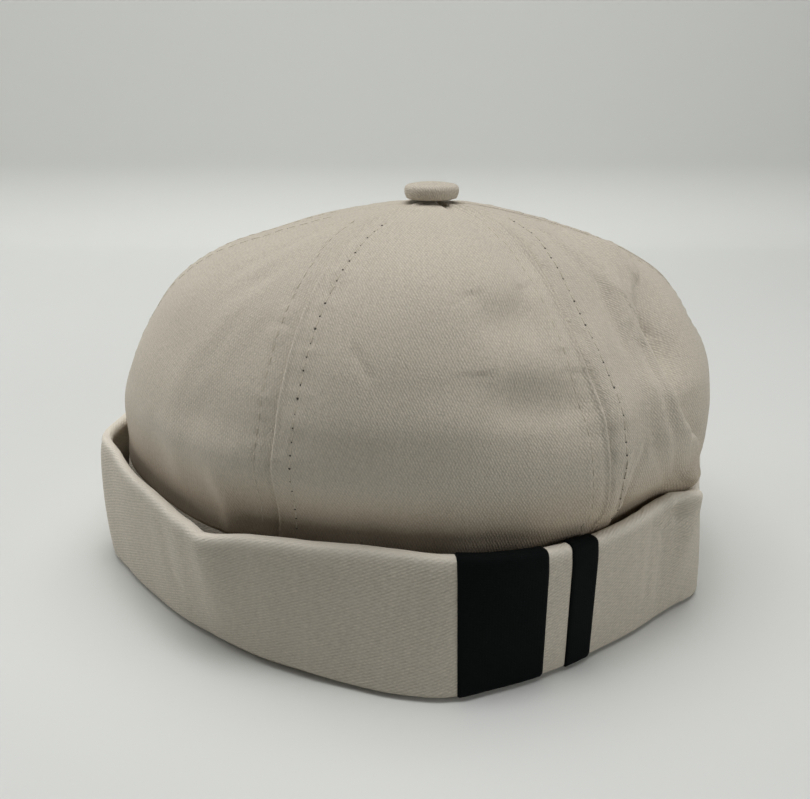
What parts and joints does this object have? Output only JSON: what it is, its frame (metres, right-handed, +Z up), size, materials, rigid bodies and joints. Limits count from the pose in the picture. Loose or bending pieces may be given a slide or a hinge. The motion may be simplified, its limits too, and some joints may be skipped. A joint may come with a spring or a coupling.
{
  "type": "skullcap",
  "caption": "Brimless cloth cap with a panelled crown, a turned-up cuff, a covered button and black tapes on one side.",
  "frame": {"origin": "on the surface that the cap stands on, under the middle of its plan", "axes": "+Z up, +X towards the back of the cap, -Y towards the side with the tapes"},
  "size_m": [0.204, 0.1818, 0.13],
  "materials": {
    "beige_twill": "matte cotton twill with a fine diagonal rib",
    "black_tape": "matte black woven tape"
  },
  "bodies": {
    "root": {"crown_front_left": "beige_twill", "crown_side_left": "beige_twill", "crown_back_left": "beige_twill", "crown_back_right": "beige_twill", "crown_side_right": "beige_twill", "crown_front_right": "beige_twill", "cuff": "beige_twill", "crown_button": "beige_twill", "tape_broad": "black_tape", "tape_slim": "black_tape"}
  },
  "joints": []
}
